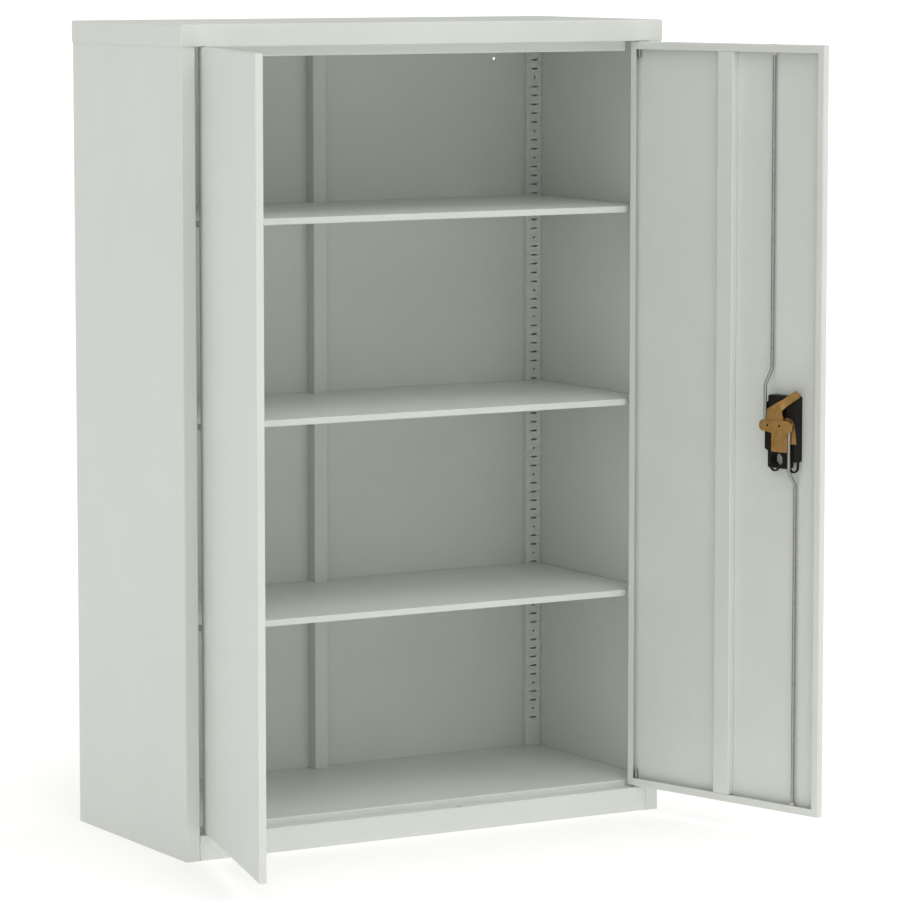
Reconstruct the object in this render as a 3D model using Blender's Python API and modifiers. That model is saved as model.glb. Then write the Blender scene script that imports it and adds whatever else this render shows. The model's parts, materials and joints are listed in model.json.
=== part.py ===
"""A two-door sheet-steel storage cabinet with adjustable shelves and a rod lock, doors open.

World frame: x runs to the right as seen from the front, y from the front plane to the back and
z up from the floor. The origin is at the middle of the front's lower edge.

A door is built in its own frame. Its origin is on the hinge axis at floor level, and with the
door shut the frame lies along the world's axes, so n, the door's local y, points into the
cabinet. The lock is built in a frame on the handle's axis: a runs across the door away from
its hinge, b runs up and n runs into the cabinet, square to the door.
"""

import math

import bmesh
import bpy
from mathutils import Vector

# Overall size
WIDTH = 0.900
DEPTH = 0.400
HEIGHT = 1.340

# Sheet and fits
SHEET = 0.001
SEAT_GAP = 0.0003
BEND_RADIUS = 0.002
OVERRUN = 0.004
RUNNING_GAP = 0.0001
MERGE_DISTANCE = 0.00001

# Cap and header
CAP_SKIRT = 0.035
HEADER_LIP = 0.020
HEADER_DEPTH = 0.025
STOP_DROP = 0.0175
STOP_HEM = 0.004
STOP_SIDE_GAP = 0.0312

# Side panels and their front posts
POST_WIDTH = 0.0247
POST_RETURN = 0.0247
REAR_FLANGE = 0.018
FLOOR_FLANGE = 0.015
FLOOR_FLANGE_START = 0.010
FLOOR_FLANGE_END_GAP = 0.020

# Plinth and bottom panel
PLINTH_HEIGHT = 0.041
PLINTH_FOOT = 0.015
BOTTOM_TOP = 0.051
BOTTOM_LIP = 0.030
BOTTOM_RETURN = 0.012

# Back panel and its stiffener
BACK_RECESS = 0.005
BACK_FLOOR_GAP = 0.003
BACK_HOLE_RADIUS = 0.0025
BACK_HOLE_FROM_SIDE = 0.093
BACK_HOLE_FROM_TOP = 0.073
STIFFENER_WIDTH = 0.026
STIFFENER_DEPTH = 0.024

# Slotted uprights
REAR_UPRIGHT_WIDTH = 0.030
FRONT_UPRIGHT_WIDTH = 0.021
UPRIGHT_DEPTH = 0.012
SLOT_PITCH = 0.0155
FRONT_SLOT_STEP = 3
FRONT_SLOT_START = 1
SLOT_FROM_TOP = 0.0759
SLOT_FROM_FLOOR = 0.100
SLOT_WIDTH = 0.0116
SLOT_HEIGHT = 0.0026
DOT_RADIUS = 0.002
DOT_REPEAT = 9
DOT_PLACES = (2, 8)
DOT_SIDES = 8

# Shelves and their clips
SHELF_SLOTS = {"upper": 16, "middle": 37, "lower": 58}
SHELF_LIP = 0.011
SHELF_RETURN = 0.010
SHELF_FRONT_Y = 0.030
SHELF_SIDE_GAP = 0.0017
SHELF_BACK_GAP = 0.001
SHELF_CORNER_WIDTH = 0.044
SHELF_CORNER_DEPTH = 0.025
UPRIGHT_NOTCH_GAP_X = 0.0037
UPRIGHT_NOTCH_GAP_Y = 0.003
STIFFENER_NOTCH_GAP_X = 0.001
STIFFENER_NOTCH_GAP_Y = 0.003
CLIP_THICKNESS = 0.0012
CLIP_WIDTH = 0.010
CLIP_NOSE = 0.006
CLIP_HOOK = 0.005
CLIP_HOOK_GAP = 0.0009
CLIP_LEDGE_FRONT = 0.029
CLIP_LEDGE_REAR = 0.0165

# Doors
DOOR_MEETING_GAP = 0.003
DOOR_THICKNESS = 0.0127
DOOR_TOP_GAP = 0.0012
DOOR_FLOOR_GAP = 0.0031
DOOR_LIP = 0.013
DOOR_OPEN = math.radians(105.3)
HINGE_FROM_EDGE = 0.0138
HINGE_FROM_SKIN = 0.0048
HINGE_FROM_POST = 0.0156
DOOR_STIFFENER_WIDTH = 0.0346

# Hinge pins, washers and pivot plates
PIN_RADIUS = 0.00275
PIN_HEAD_RADIUS = 0.0034
PIN_HEAD = 0.002
PIN_REACH = 0.014
WASHER_RADIUS = 0.0045
PIVOT_PLATE_SHEET = 0.002
PIVOT_PLATE_LENGTH = 0.040
PIVOT_PLATE_DROP = 0.025
PIVOT_PLATE_FOLD_GAP = 0.0012

# Lock: places on the door and the link between handle and rods
LOCK_FROM_FREE_EDGE = 0.0845
LOCK_Z = 0.684
HANDLE_TURN = math.radians(26.0)
CRANK_ARM = 0.02565
LINK_GAP = 0.0005

# Lock rods
ROD_RADIUS = 0.00275
ROD_HOLE_GAP = 0.00035
ROD_TIP = 0.0005
ROD_BEND = 0.006
ROD_LINK_BEND = 0.003
ROD_FRONT_N = 0.0179
UPPER_CRANK_B = (0.0666, 0.0915)
LOWER_CRANK_B = (-0.0733, -0.0967)
BUSH_RADIUS = 0.005
BUSH_HEIGHT = 0.016
STRIKE_HOLE_RADIUS = 0.004

# Cam plate, hook plate, rear plate with its leaf, and rivets
LOCK_PLATE = 0.0015
CAM_PLATE_N = 0.021
CAM_END_RADIUS = 0.0097
CAM_TOP_B = 0.0100
CAM_SHOULDER = (0.0276, 0.0102)
CAM_TIP = (0.0360, 0.0050)
CAM_UNDER_TIP = (0.0345, -0.0058)
CAM_STEM_LEFT = -0.0084
CAM_STEM_RIGHT = 0.0246
CAM_STEM_TOP = -0.0114
CAM_STEM_END = -0.0420
CAM_ARM_UNDER = (-0.0220, -0.0090)
HOOK_FOOT_LEFT = (-0.0170, -0.0090)
HOOK_FOOT_RIGHT = (0.0120, -0.0090)
HOOK_NECK_LEFT = (-0.0211, 0.0109)
HOOK_NECK_RIGHT = (0.0151, 0.0126)
HOOK_BACK_LEFT = (-0.0196, 0.0268)
HOOK_THROAT = (0.0117, 0.0246)
HOOK_ARM_UNDER = (0.0181, 0.0320)
HOOK_TIP_UNDER = (0.0464, 0.0496)
HOOK_TIP = (0.0468, 0.0559)
HOOK_TIP_OVER = (0.0387, 0.0607)
HOOK_BACK_RIGHT = (0.0104, 0.0434)
HOOK_CORNER_RADIUS = 0.002
FINGER_DIRECTION = (0.849, 0.528)
FINGER_BENDS = (0.0262, 0.0320)
FINGER_DROP = 0.0028
LEAF_SHEET = 0.0013
LEAF_ARM_RADIUS = 0.0085
LEAF_UNDER_B = -0.0075
LEAF_ROOT_A = 0.0215
LEAF_END_IN = (0.0250, -0.0285)
LEAF_END_OUT = (0.0381, -0.0278)
LEAF_SIDE = (0.0335, 0.0045)
LEAF_SHOULDER = (0.0304, 0.0108)
LEAF_TOP = (0.0227, 0.0147)
LEAF_RISE = (0.0142, 0.0124)
LEAF_DIP_A = 0.0120
LEAF_RIM = 0.0027
LEAF_RIM_WALL = 0.0012
RIVET_PLACES = {"left": (-0.0157, 0.0008), "right": (0.0093, 0.0011)}
RIVET_RADIUS = 0.0022
RIVET_HEAD_RADIUS = 0.0030
RIVET_HEAD = 0.0005
RIVET_HOLLOW_RADIUS = 0.0013
RIVET_HOLLOW_DEPTH = 0.0012
SPACER_RADIUS = 0.0034

# Lock case, spindle and key cylinder
CASE_FACE_N = 0.0132
CASE_LEFT = -0.0240
CASE_RIGHT = 0.0360
CASE_TOP = 0.0499
CASE_BOTTOM = -0.0582
CASE_EAR_LEFT = -0.0308
CASE_EAR_TOP = 0.0378
CASE_EAR_BOTTOM = -0.0408
CASE_CHIN_RIGHT = 0.0175
CASE_CHIN_BOTTOM = -0.0700
CASE_CORNER_RADIUS = 0.003
CASE_EDGE_RADIUS = 0.0012
CASE_OVAL = (-0.0049, -0.0558)
CASE_OVAL_HALF_WIDTH = 0.0130
CASE_OVAL_HALF_HEIGHT = 0.0108
CASE_LOOPS = ((-0.0150, CASE_CHIN_BOTTOM), (0.0255, CASE_BOTTOM))
CASE_LOOP_BOTTOM = -0.0765
CASE_LOOP_RADIUS = 0.0100
CASE_LOOP_WALL = 0.0025
CASE_LOOP_ROOT = 0.0040
CASE_LOOP_N = 0.0030
CASE_LOOP_THICKNESS = 0.0040
SPINDLE_RADIUS = 0.005
SPINDLE_TIP_RADIUS = 0.003
CYLINDER_RADIUS = 0.008
CYLINDER_B = -0.034
CYLINDER_PROUD = 0.0014
CYLINDER_DEPTH = 0.020
CYLINDER_EDGE = 0.0005
CYLINDER_BORE_GAP = 0.0002
KEYWAY_WIDTH = 0.0014
KEYWAY_HEIGHT = 0.009
KEYWAY_DEPTH = 0.006

# Outside handle and its rose
ROSE_HALF_WIDTH = 0.027
ROSE_TOP = 0.032
ROSE_BOTTOM = -0.058
ROSE_THICKNESS = 0.003
ROSE_EDGE = 0.0008
HUB_RADIUS = 0.014
HUB_HEIGHT = 0.008
GRIP_LENGTH = 0.084
GRIP_HALF_WIDTH = 0.010
GRIP_THICKNESS = 0.009
GRIP_EDGE = 0.002
SPINDLE_SOCKET = 0.006

# Roundness, in sides
TURNED_SIDES = 16
RIVET_SIDES = 10
BORE_SIDES = 16
ARC_STEPS = 4
BEND_STEPS = 2
LEAST_FOLD = math.radians(57)

# Places that follow from the sizes above
BODY_HALF = WIDTH / 2 - SHEET - SEAT_GAP
BODY_BACK = DEPTH - SHEET - SEAT_GAP
CAP_FRONT = -SHEET - SEAT_GAP
UNDER_CAP = HEIGHT - BEND_RADIUS
HEADER_Z = HEIGHT - CAP_SKIRT
POST_INNER = BODY_HALF - POST_WIDTH
INSIDE_HALF = BODY_HALF - SHEET - SEAT_GAP
BAY_HALF = POST_INNER - SEAT_GAP
STOP_HALF_WIDTH = BAY_HALF - STOP_SIDE_GAP
FLOOR_FLANGE_END = DEPTH - FLOOR_FLANGE_END_GAP
BACK_FIELD_Y = DEPTH - BACK_RECESS
BACK_HOLE_X = WIDTH / 2 - BACK_HOLE_FROM_SIDE
BACK_HOLE_Z = HEIGHT - BACK_HOLE_FROM_TOP
SLOT_TOP_Z = HEIGHT - SLOT_FROM_TOP
SLOT_COUNT = 1 + int((SLOT_TOP_Z - SLOT_FROM_FLOOR) / SLOT_PITCH)
BACK_FRONT = BACK_FIELD_Y - SEAT_GAP
BACK_REAR = BODY_BACK - SHEET - SEAT_GAP
REAR_UPRIGHT_Y = BACK_FIELD_Y - UPRIGHT_DEPTH
FRONT_UPRIGHT_START = POST_RETURN + 2 * SEAT_GAP
FRONT_UPRIGHT_Y = FRONT_UPRIGHT_START + UPRIGHT_DEPTH
UPRIGHT_OUTER = BODY_HALF - SHEET - SEAT_GAP
HINGE_X = POST_INNER - HINGE_FROM_POST
DOOR_TOP = HEADER_Z - DOOR_TOP_GAP
DOOR_BOTTOM = PLINTH_HEIGHT + DOOR_FLOOR_GAP
SKIN_N = -HINGE_FROM_SKIN
SKIN_INNER_N = SKIN_N + SHEET
LIP_N = SKIN_N + DOOR_THICKNESS
DOOR_FREE_EDGE = HINGE_X - DOOR_MEETING_GAP / 2
DOOR_WIDTH = DOOR_FREE_EDGE + HINGE_FROM_EDGE
LOCK_FROM_HINGE = DOOR_FREE_EDGE - LOCK_FROM_FREE_EDGE
ROD_N = (SKIN_INNER_N + LIP_N - SHEET) / 2
CAM_FRONT_N = CAM_PLATE_N + LOCK_PLATE
HOOK_FRONT_N = CAM_PLATE_N - SEAT_GAP
HOOK_REAR_N = HOOK_FRONT_N - LOCK_PLATE
LEAF_N = CASE_FACE_N + SEAT_GAP
LEAF_FRONT_N = LEAF_N + LEAF_SHEET
ROD_PIN_N = LEAF_N + SEAT_GAP
ROSE_REAR_N = SKIN_N - SEAT_GAP
ROSE_FRONT_N = ROSE_REAR_N - ROSE_THICKNESS
HUB_REAR_N = ROSE_FRONT_N - SEAT_GAP
HUB_FRONT_N = HUB_REAR_N - HUB_HEIGHT
SPINDLE_OUTER_N = HUB_REAR_N - SPINDLE_SOCKET


def clear_scene():
    for thing in list(bpy.data.objects):
        bpy.data.objects.remove(thing)


def new_collection(name):
    collection = bpy.data.collections.new(name)
    bpy.context.scene.collection.children.link(collection)
    return collection


clear_scene()
CABINET = new_collection("storage_cabinet")
CUTTERS = new_collection("cutters")


def material(name, colour, roughness, metallic=0.0):
    made = bpy.data.materials.new(name)
    made.use_nodes = True
    made.diffuse_color = (*colour, 1.0)
    shader = made.node_tree.nodes["Principled BSDF"]
    shader.inputs["Base Color"].default_value = (*colour, 1.0)
    shader.inputs["Roughness"].default_value = roughness
    shader.inputs["Metallic"].default_value = metallic
    return made


POWDER_COAT = material("powder_coat", (0.58, 0.59, 0.55), 0.42)
ZINC_STEEL = material("zinc_steel", (0.62, 0.62, 0.60), 0.35, 1.0)
YELLOW_ZINC = material("yellow_zinc", (0.42, 0.27, 0.07), 0.35, 1.0)
BLACK_PLASTIC = material("black_plastic", (0.02, 0.02, 0.02), 0.45)
NYLON = material("nylon", (0.60, 0.60, 0.56), 0.5)


def add_object(name, data, finish=None, parent=None):
    """An object in the cabinet's collection, or a cutter when it has no finish."""
    thing = bpy.data.objects.new(name, data)
    thing.parent = parent
    if finish is None:
        CUTTERS.objects.link(thing)
        thing.hide_render = True
        thing.display_type = "WIRE"
    else:
        CABINET.objects.link(thing)
        data.materials.append(finish)
    return thing


def add_mesh(name, bm, finish=None, parent=None):
    mesh = bpy.data.meshes.new(name)
    bm.to_mesh(mesh)
    bm.free()
    return add_object(name, mesh, finish, parent)


def add_frame(name, location, rotation=(0, 0, 0), parent=None):
    """An empty that carries pieces and stands on a joint's axis."""
    frame = bpy.data.objects.new(name, None)
    CABINET.objects.link(frame)
    frame.parent = parent
    frame.location = location
    frame.rotation_euler = rotation
    return frame


def solidify(thing, thickness, offset=-1.0):
    wall = thing.modifiers.new("sheet", "SOLIDIFY")
    wall.thickness = thickness
    wall.offset = offset
    wall.use_even_offset = True
    wall.use_quality_normals = True


def cut(thing, cutter, operation="DIFFERENCE"):
    change = thing.modifiers.new(cutter.name, "BOOLEAN")
    change.object = cutter
    change.operation = operation
    change.solver = "EXACT"


def arc_between(centre, start, end, steps):
    """Points on the arc about the centre from one radius vector to the other, ends included."""
    turn = start.angle(end)
    for step in range(steps + 1):
        share = step / steps
        along = start * math.sin((1 - share) * turn) + end * math.sin(share * turn)
        yield centre + along / math.sin(turn)


def corner_arc(before, corner, after, radius, steps):
    to_before = (Vector(before) - Vector(corner)).normalized()
    to_after = (Vector(after) - Vector(corner)).normalized()
    half = to_before.angle(to_after) / 2
    centre = Vector(corner) + (to_before + to_after).normalized() * radius / math.sin(half)
    reach = radius / math.tan(half)
    start = Vector(corner) + to_before * reach - centre
    end = Vector(corner) + to_after * reach - centre
    return list(arc_between(centre, start, end, steps))


def rounded(points, radius, steps=BEND_STEPS, closed=False):
    """The points with each inner corner turned into an arc, and the ends too when closed."""
    count = len(points)
    out = []
    for index, corner in enumerate(points):
        if not closed and index in (0, count - 1):
            out.append(Vector(corner))
        else:
            out += corner_arc(points[index - 1], corner, points[(index + 1) % count], radius, steps)
    return out


def along_x(a, b, t):
    return (t, a, b)


def along_y(a, b, t):
    return (a, t, b)


def along_z(a, b, t):
    return (a, b, t)


def bent_sheet(profile, stations, frame, leave_out=None, bend=BEND_RADIUS):
    """A folded sheet's outer skin: the open profile drawn along its frame from station to station.

    The skin faces to the right of the profile's direction, in frames along x and z.
    """
    bm = bmesh.new()
    line = [bm.verts.new(frame(a, b, stations[0])) for a, b in rounded(profile, bend)]
    edges = [bm.edges.new(pair) for pair in zip(line, line[1:])]
    for start, stop in zip(stations, stations[1:]):
        made = bmesh.ops.extrude_edge_only(bm, edges=edges)["geom"]
        edges = [item for item in made if isinstance(item, bmesh.types.BMEdge)]
        moved = [item for item in made if isinstance(item, bmesh.types.BMVert)]
        bmesh.ops.translate(bm, verts=moved, vec=Vector(frame(0, 0, stop - start)))
    bmesh.ops.recalc_face_normals(bm, faces=bm.faces[:])
    if leave_out:
        dropped = [face for face in bm.faces if leave_out(face.calc_center_median())]
        bmesh.ops.delete(bm, geom=dropped, context="FACES")
    return bm


def face_outward(bm, outward):
    """Turns the skin over unless its largest face looks along the outward direction."""
    bm.normal_update()
    largest = max(bm.faces, key=lambda face: face.calc_area())
    if largest.normal.dot(Vector(outward)) < 0:
        bmesh.ops.reverse_faces(bm, faces=bm.faces[:])


def tray_skin(outline, field, depth, lip, frame, outward, bend=BEND_RADIUS, steps=BEND_STEPS):
    """The outer skin of a tray: a field with walls all round and, where lip isn't zero, a returned lip."""
    bm = bmesh.new()
    floor = bm.faces.new([bm.verts.new(frame(a, b, field)) for a, b in outline])
    walls = bmesh.ops.extrude_edge_only(bm, edges=floor.edges[:])["geom"]
    moved = [item for item in walls if isinstance(item, bmesh.types.BMVert)]
    bmesh.ops.translate(bm, verts=moved, vec=Vector(frame(0, 0, depth)))
    if lip:
        mouth_edges = [edge for edge in bm.edges if edge.is_boundary]
        mouth = bmesh.ops.contextual_create(bm, geom=mouth_edges)["faces"]
        bmesh.ops.recalc_face_normals(bm, faces=bm.faces[:])
        bmesh.ops.inset_region(bm, faces=mouth, thickness=lip, use_even_offset=True)
        bmesh.ops.delete(bm, geom=mouth, context="FACES")
    bmesh.ops.recalc_face_normals(bm, faces=bm.faces[:])
    folds = [edge for edge in bm.edges if len(edge.link_faces) == 2 and edge.calc_face_angle() > LEAST_FOLD]
    bmesh.ops.bevel(bm, geom=folds, offset=bend, segments=steps, profile=0.5, affect="EDGES")
    face_outward(bm, outward)
    return bm


def rectangle(low_a, low_b, high_a, high_b):
    return [(low_a, low_b), (high_a, low_b), (high_a, high_b), (low_a, high_b)]


def mirrored(bm, side):
    """The right-hand piece, turned into the left-hand one where side is -1."""
    if side < 0:
        bmesh.ops.scale(bm, vec=(-1, 1, 1), verts=bm.verts[:])
        bmesh.ops.reverse_faces(bm, faces=bm.faces[:])
    return bm


def add_rod_shape(bm, radius, low, high, sides=BORE_SIDES):
    """A cylinder between two points that differ along one axis, for a bore or a pin."""
    low, high = Vector(low), Vector(high)
    made = bmesh.ops.create_cone(
        bm, cap_ends=True, segments=sides, radius1=radius, radius2=radius, depth=(high - low).length
    )
    turn = Vector((0, 0, 1)).rotation_difference(high - low).to_matrix()
    bmesh.ops.rotate(bm, verts=made["verts"], matrix=turn)
    bmesh.ops.translate(bm, verts=made["verts"], vec=(low + high) / 2)


def add_block(bm, low, high):
    low, high = Vector(low), Vector(high)
    made = bmesh.ops.create_cube(bm, size=1)
    bmesh.ops.scale(bm, verts=made["verts"], vec=high - low)
    bmesh.ops.translate(bm, verts=made["verts"], vec=(low + high) / 2)


def turned(name, profile, finish, parent=None, location=(0, 0, 0), closed=False, sides=TURNED_SIDES):
    """A turned piece about its local z axis. The profile of (radius, z) runs down its outer side."""
    bm = bmesh.new()
    points = [bm.verts.new((radius, 0, z)) for radius, z in profile]
    pairs = list(zip(points, points[1:]))
    if closed:
        pairs.append((points[-1], points[0]))
    for pair in pairs:
        bm.edges.new(pair)
    piece = add_mesh(name, bm, finish, parent)
    piece.location = location
    screw = piece.modifiers.new("turn", "SCREW")
    screw.steps = sides
    screw.render_steps = sides
    screw.use_merge_vertices = True
    screw.merge_threshold = MERGE_DISTANCE
    screw.use_normal_calculate = False
    return piece


def ring(name, inner, outer, low, high, finish, parent=None, location=(0, 0, 0)):
    profile = [(outer, high), (outer, low), (inner, low), (inner, high)]
    return turned(name, profile, finish, parent, location, closed=True)


def circle(centre, radius, sides=BORE_SIDES):
    for step in range(sides):
        turn = 2 * math.pi * step / sides
        yield (centre[0] + radius * math.cos(turn), centre[1] + radius * math.sin(turn))


def stadium(centre, half_width, half_height):
    """An upright slot with round ends, or a lying one where it is wider than high."""
    radius = min(half_width, half_height)
    reach_a, reach_b = half_width - radius, half_height - radius
    for step in range(2 * ARC_STEPS):
        turn = math.pi * step / ARC_STEPS + math.pi / 2 / ARC_STEPS
        shift_a = math.copysign(reach_a, math.cos(turn))
        shift_b = math.copysign(reach_b, math.sin(turn))
        yield (centre[0] + radius * math.cos(turn) + shift_a, centre[1] + radius * math.sin(turn) + shift_b)


def plate(name, outlines, low_n, high_n, finish=None, parent=None, edge=0.0):
    """A flat plate of the lock frame from one n to another. Outlines after the first are holes."""
    curve = bpy.data.curves.new(name, "CURVE")
    curve.dimensions = "2D"
    curve.fill_mode = "BOTH"
    curve.extrude = (high_n - low_n) / 2 - edge
    curve.bevel_depth = edge
    curve.bevel_resolution = 1
    curve.offset = -edge
    for outline in outlines:
        points = list(outline)
        spline = curve.splines.new("POLY")
        spline.points.add(len(points) - 1)
        spline.use_cyclic_u = True
        for place, (a, b) in zip(spline.points, points):
            place.co = (a, b, 0, 1)
    piece = add_object(name, curve, finish, parent)
    piece.location = (0, 0, (low_n + high_n) / 2)
    return piece


def as_mesh(curve_piece):
    """The same piece as a mesh with its caps welded, so that it can be cut or joined."""
    bpy.context.view_layer.update()
    name, finish = curve_piece.name, curve_piece.data.materials[:]
    graph = bpy.context.evaluated_depsgraph_get()
    mesh = bpy.data.meshes.new_from_object(curve_piece.evaluated_get(graph))
    bm = bmesh.new()
    bm.from_mesh(mesh)
    bmesh.ops.remove_doubles(bm, verts=bm.verts[:], dist=MERGE_DISTANCE)
    bmesh.ops.recalc_face_normals(bm, faces=bm.faces[:])
    bm.to_mesh(mesh)
    bm.free()
    parent, location = curve_piece.parent, curve_piece.location.copy()
    collection = curve_piece.users_collection[0]
    hidden = curve_piece.hide_render
    bpy.data.objects.remove(curve_piece)
    piece = bpy.data.objects.new(name, mesh)
    collection.objects.link(piece)
    piece.parent, piece.location, piece.hide_render = parent, location, hidden
    if hidden:
        piece.display_type = "WIRE"
    elif not mesh.materials:
        mesh.materials.append(finish[0])
    return piece


def slot_z(index):
    """The height of one place in an upright, counted down from the top."""
    return SLOT_TOP_Z - index * SLOT_PITCH


def shelf_top(index):
    """A shelf's lips stand on its clips, whose tongues lie in the middle of their slots."""
    return slot_z(index) + CLIP_THICKNESS / 2 + SEAT_GAP + SHELF_LIP


def build_cap():
    outline = rectangle(-WIDTH / 2, CAP_FRONT, WIDTH / 2, DEPTH)
    skin = tray_skin(outline, HEIGHT, -CAP_SKIRT, 0, along_z, (0, 0, 1))
    solidify(add_mesh("top_cap", skin, POWDER_COAT), SHEET)


def build_frame_bores():
    """The holes in header and plinth: for the hinge pins, and for the rods where they lock."""
    bm = bmesh.new()
    header_span = (HEADER_Z - OVERRUN, HEADER_Z + SHEET + OVERRUN)
    plinth_span = (PLINTH_HEIGHT - SHEET - OVERRUN, PLINTH_HEIGHT + OVERRUN)
    for low, high in (header_span, plinth_span):
        for side in (-1, 1):
            x = side * HINGE_X
            add_rod_shape(bm, PIN_RADIUS + SEAT_GAP, (x, HINGE_FROM_SKIN, low), (x, HINGE_FROM_SKIN, high))
    rod_y = HINGE_FROM_SKIN + ROD_N
    for (low, high), arm in ((header_span, -CRANK_ARM), (plinth_span, CRANK_ARM)):
        x = HINGE_X - LOCK_FROM_HINGE - arm
        add_rod_shape(bm, STRIKE_HOLE_RADIUS, (x, rod_y, low), (x, rod_y, high))
    return add_mesh("frame_bores", bm)


def build_header(bores):
    profile = [
        (0, HEADER_Z + HEADER_LIP),
        (0, HEADER_Z),
        (HEADER_DEPTH, HEADER_Z),
        (HEADER_DEPTH, HEADER_Z - STOP_DROP),
        (HEADER_DEPTH + STOP_HEM, HEADER_Z - STOP_DROP),
    ]

    def beyond_stop(centre):
        return abs(centre.x) > STOP_HALF_WIDTH and centre.y > HEADER_DEPTH - BEND_RADIUS

    stations = (-BAY_HALF, -STOP_HALF_WIDTH, STOP_HALF_WIDTH, BAY_HALF)
    skin = bent_sheet(profile, stations, along_x, beyond_stop)
    face_outward(skin, (0, 0, -1))
    header = add_mesh("header_rail", skin, POWDER_COAT)
    solidify(header, SHEET)
    cut(header, bores)


def build_plinth(bores):
    profile = [
        (HEADER_DEPTH - SEAT_GAP, PLINTH_HEIGHT),
        (0, PLINTH_HEIGHT),
        (0, 0),
        (PLINTH_FOOT, 0),
    ]
    skin = bent_sheet(profile, (-BAY_HALF, BAY_HALF), along_x)
    face_outward(skin, (0, -1, 0))
    plinth = add_mesh("plinth", skin, POWDER_COAT)
    solidify(plinth, SHEET)
    cut(plinth, bores)


def build_side_panels():
    profile = [
        (POST_INNER, POST_RETURN),
        (POST_INNER, 0),
        (BODY_HALF, 0),
        (BODY_HALF, BODY_BACK),
        (BODY_HALF - REAR_FLANGE, BODY_BACK),
    ]
    for side, word in ((-1, "left"), (1, "right")):
        skin = bent_sheet(profile, (0, UNDER_CAP), along_z)
        for y in (FLOOR_FLANGE_START, FLOOR_FLANGE_END):
            whole = skin.verts[:] + skin.edges[:] + skin.faces[:]
            bmesh.ops.bisect_plane(skin, geom=whole, plane_co=(0, y, 0), plane_no=(0, 1, 0))
        foot = [edge for edge in skin.edges if on_floor_of_side(edge)]
        flange = bmesh.ops.extrude_edge_only(skin, edges=foot)["geom"]
        moved = [item for item in flange if isinstance(item, bmesh.types.BMVert)]
        bmesh.ops.translate(skin, verts=moved, vec=(-FLOOR_FLANGE, 0, 0))
        bmesh.ops.recalc_face_normals(skin, faces=skin.faces[:])
        face_outward(skin, (1, 0, 0))
        panel = add_mesh(word + "_side_panel", mirrored(skin, side), POWDER_COAT)
        solidify(panel, SHEET)


def on_floor_of_side(edge):
    """Whether the edge is the stretch of the side's lower edge that carries the floor flange."""
    middle = (edge.verts[0].co + edge.verts[1].co) / 2
    inside = FLOOR_FLANGE_START < middle.y < FLOOR_FLANGE_END
    return inside and middle.z < SEAT_GAP and middle.x > POST_INNER + POST_WIDTH / 2


def build_bottom_panel():
    outline = rectangle(-INSIDE_HALF, HEADER_DEPTH, INSIDE_HALF, BACK_FRONT)
    skin = tray_skin(outline, BOTTOM_TOP, -BOTTOM_LIP, BOTTOM_RETURN, along_z, (0, 0, 1))
    solidify(add_mesh("bottom_panel", skin, POWDER_COAT), SHEET)


def build_back_panel():
    half = BODY_HALF - BEND_RADIUS
    outline = rectangle(-half, BACK_FLOOR_GAP, half, UNDER_CAP)
    skin = tray_skin(outline, BACK_FIELD_Y, BACK_REAR - BACK_FIELD_Y, 0, along_y, (0, -1, 0), bend=SHEET)
    panel = add_mesh("back_panel", skin, POWDER_COAT)
    solidify(panel, SHEET)
    bm = bmesh.new()
    for x in (-BACK_HOLE_X, BACK_HOLE_X):
        start, stop = BACK_FIELD_Y - OVERRUN, BACK_FIELD_Y + OVERRUN
        add_rod_shape(bm, BACK_HOLE_RADIUS, (x, start, BACK_HOLE_Z), (x, stop, BACK_HOLE_Z))
    cut(panel, add_mesh("wall_holes", bm))


def channel(outer_a, inner_a, open_b, face_b):
    """A U profile: its face at face_b, and its two legs reaching to open_b."""
    return [(inner_a, open_b), (inner_a, face_b), (outer_a, face_b), (outer_a, open_b)]


def build_back_stiffener():
    face_y = BACK_FIELD_Y - STIFFENER_DEPTH
    profile = channel(STIFFENER_WIDTH / 2, -STIFFENER_WIDTH / 2, BACK_FRONT, face_y)
    skin = bent_sheet(profile, (BOTTOM_TOP + SEAT_GAP, UNDER_CAP), along_z)
    face_outward(skin, (0, -1, 0))
    solidify(add_mesh("back_stiffener", skin, POWDER_COAT), SHEET)


def slot_cutter(name, centre_x, face_y, places):
    """One cutter with every slot and round hole of an upright."""
    bm = bmesh.new()
    start, stop = face_y - OVERRUN, face_y + OVERRUN
    for index in places:
        z = slot_z(index)
        if index % DOT_REPEAT in DOT_PLACES:
            add_rod_shape(bm, DOT_RADIUS, (centre_x, start, z), (centre_x, stop, z), DOT_SIDES)
        else:
            low = (centre_x - SLOT_WIDTH / 2, start, z - SLOT_HEIGHT / 2)
            high = (centre_x + SLOT_WIDTH / 2, stop, z + SLOT_HEIGHT / 2)
            add_block(bm, low, high)
    return add_mesh(name, bm)


def slot_x(width):
    """The middle of an upright, whose outer leg stands against the side panel."""
    return UPRIGHT_OUTER - width / 2


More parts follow.
